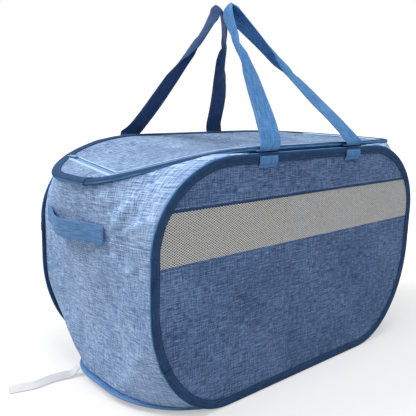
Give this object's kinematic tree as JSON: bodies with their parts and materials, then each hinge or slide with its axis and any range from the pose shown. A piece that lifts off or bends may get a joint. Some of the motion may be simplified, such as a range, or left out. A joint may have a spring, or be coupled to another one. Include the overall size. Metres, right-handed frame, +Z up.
{
  "type": "pop up laundry hamper",
  "caption": "Collapsible fabric laundry hamper: wire-hooped box with a zipped lid, mesh windows, carry handles and end grab handles.",
  "frame": {"origin": "on the floor, under the middle of the box", "axes": "+X along the long side, +Y from the front long side to the back one, +Z up"},
  "size_m": [0.7275, 0.3181, 0.5843],
  "materials": {
    "spring_steel": "flat rolled spring wire",
    "bottom_binding_tape": "woven tape",
    "rim_binding_tape": "woven tape",
    "mesh": "knitted net",
    "side_cloth": "heather plain weave",
    "end_cloth": "pale heather plain weave",
    "lid_cloth": "pale heather plain weave",
    "zip_teeth": "moulded coil",
    "zip_metal": "painted",
    "tie_tape": "soft woven tape",
    "strap_webbing": "flat webbing",
    "handle_webbing": "flat webbing"
  },
  "bodies": {
    "base": {"bottom_binding": "bottom_binding_tape", "bottom_hoop_wire": "spring_steel", "bottom_hoop_ferrule": "spring_steel", "bottom_panel": "end_cloth", "left_end_panel": "end_cloth", "right_end_panel": "end_cloth", "left_side_handle": "handle_webbing", "right_side_handle": "handle_webbing", "tie_band": "tie_tape"},
    "front_side": {"front_binding": "rim_binding_tape", "front_hoop_wire": "spring_steel", "front_hoop_ferrule": "spring_steel", "front_panel_lower": "side_cloth", "front_mesh_window": "mesh", "front_panel_upper": "side_cloth", "front_strap_tab_left": "strap_webbing", "front_strap_tab_right": "strap_webbing"},
    "back_side": {"back_binding": "rim_binding_tape", "back_hoop_wire": "spring_steel", "back_hoop_ferrule": "spring_steel", "back_panel_lower": "side_cloth", "back_mesh_window": "mesh", "back_panel_upper": "side_cloth", "back_strap_tab_left": "strap_webbing", "back_strap_tab_right": "strap_webbing"},
    "top": {"top_binding": "rim_binding_tape", "top_hoop_wire": "spring_steel", "top_hoop_ferrule": "spring_steel", "top_border_left": "lid_cloth", "top_border_right": "lid_cloth", "top_border_front": "lid_cloth", "top_border_back": "lid_cloth", "zip_chain_rim_half": "zip_teeth"},
    "lid": {"lid_panel": "lid_cloth", "zip_chain_lid_half": "zip_teeth"},
    "zip_slider": {"zip_slider": "zip_metal"},
    "zip_pull": {"zip_pull": "zip_metal"},
    "front_handle": {"front_handle": "handle_webbing"},
    "back_handle": {"back_handle": "handle_webbing"}
  },
  "joints": [
    {"name": "fold", "type": "hinge", "parent": "base", "child": "front_side", "pos_m": [0, -0.15, 0.0114], "axis": [-1, 0, 0], "range_deg": [0, 68], "stiffness_Nm_per_rad": 1.5, "deforming": ["left_end_panel", "right_end_panel", "left_side_handle", "right_side_handle"]},
    {"name": "back_fold", "type": "hinge", "parent": "base", "child": "back_side", "pos_m": [0, 0.15, 0.0037], "axis": [-1, 0, 0], "range_deg": [0, 68]},
    {"name": "top_level", "type": "hinge", "parent": "front_side", "child": "top", "pos_m": [0, -0.15, 0.361], "axis": [-1, 0, 0], "range_deg": [-68, 0]},
    {"name": "lid_hinge", "type": "hinge", "parent": "top", "child": "lid", "pos_m": [0, 0.092, 0.3405], "axis": [-1, 0, 0], "range_deg": [-80, 0]},
    {"name": "zip_slide", "type": "slide", "parent": "top", "child": "zip_slider", "axis": [-0.1381, -0.9896, -0.0397], "range_m": [0, 0.13]},
    {"name": "pull_hinge", "type": "hinge", "parent": "zip_slider", "child": "zip_pull", "pos_m": [-0.2784, 0.069, 0.3457], "axis": [1, 0, 0], "range_deg": [0, 92]},
    {"name": "front_handle_swing", "type": "hinge", "parent": "top", "child": "front_handle", "pos_m": [0, -0.1572, 0.3697], "axis": [-1, 0, 0], "range_deg": [-190, 0]},
    {"name": "back_handle_swing", "type": "hinge", "parent": "top", "child": "back_handle", "pos_m": [0, 0.1572, 0.3697], "axis": [1, 0, 0], "range_deg": [-190, 0]}
  ],
  "couplings": [
    {"joint": "back_fold", "follows": "fold", "ratio": 1},
    {"joint": "top_level", "follows": "fold", "ratio": -1}
  ]
}
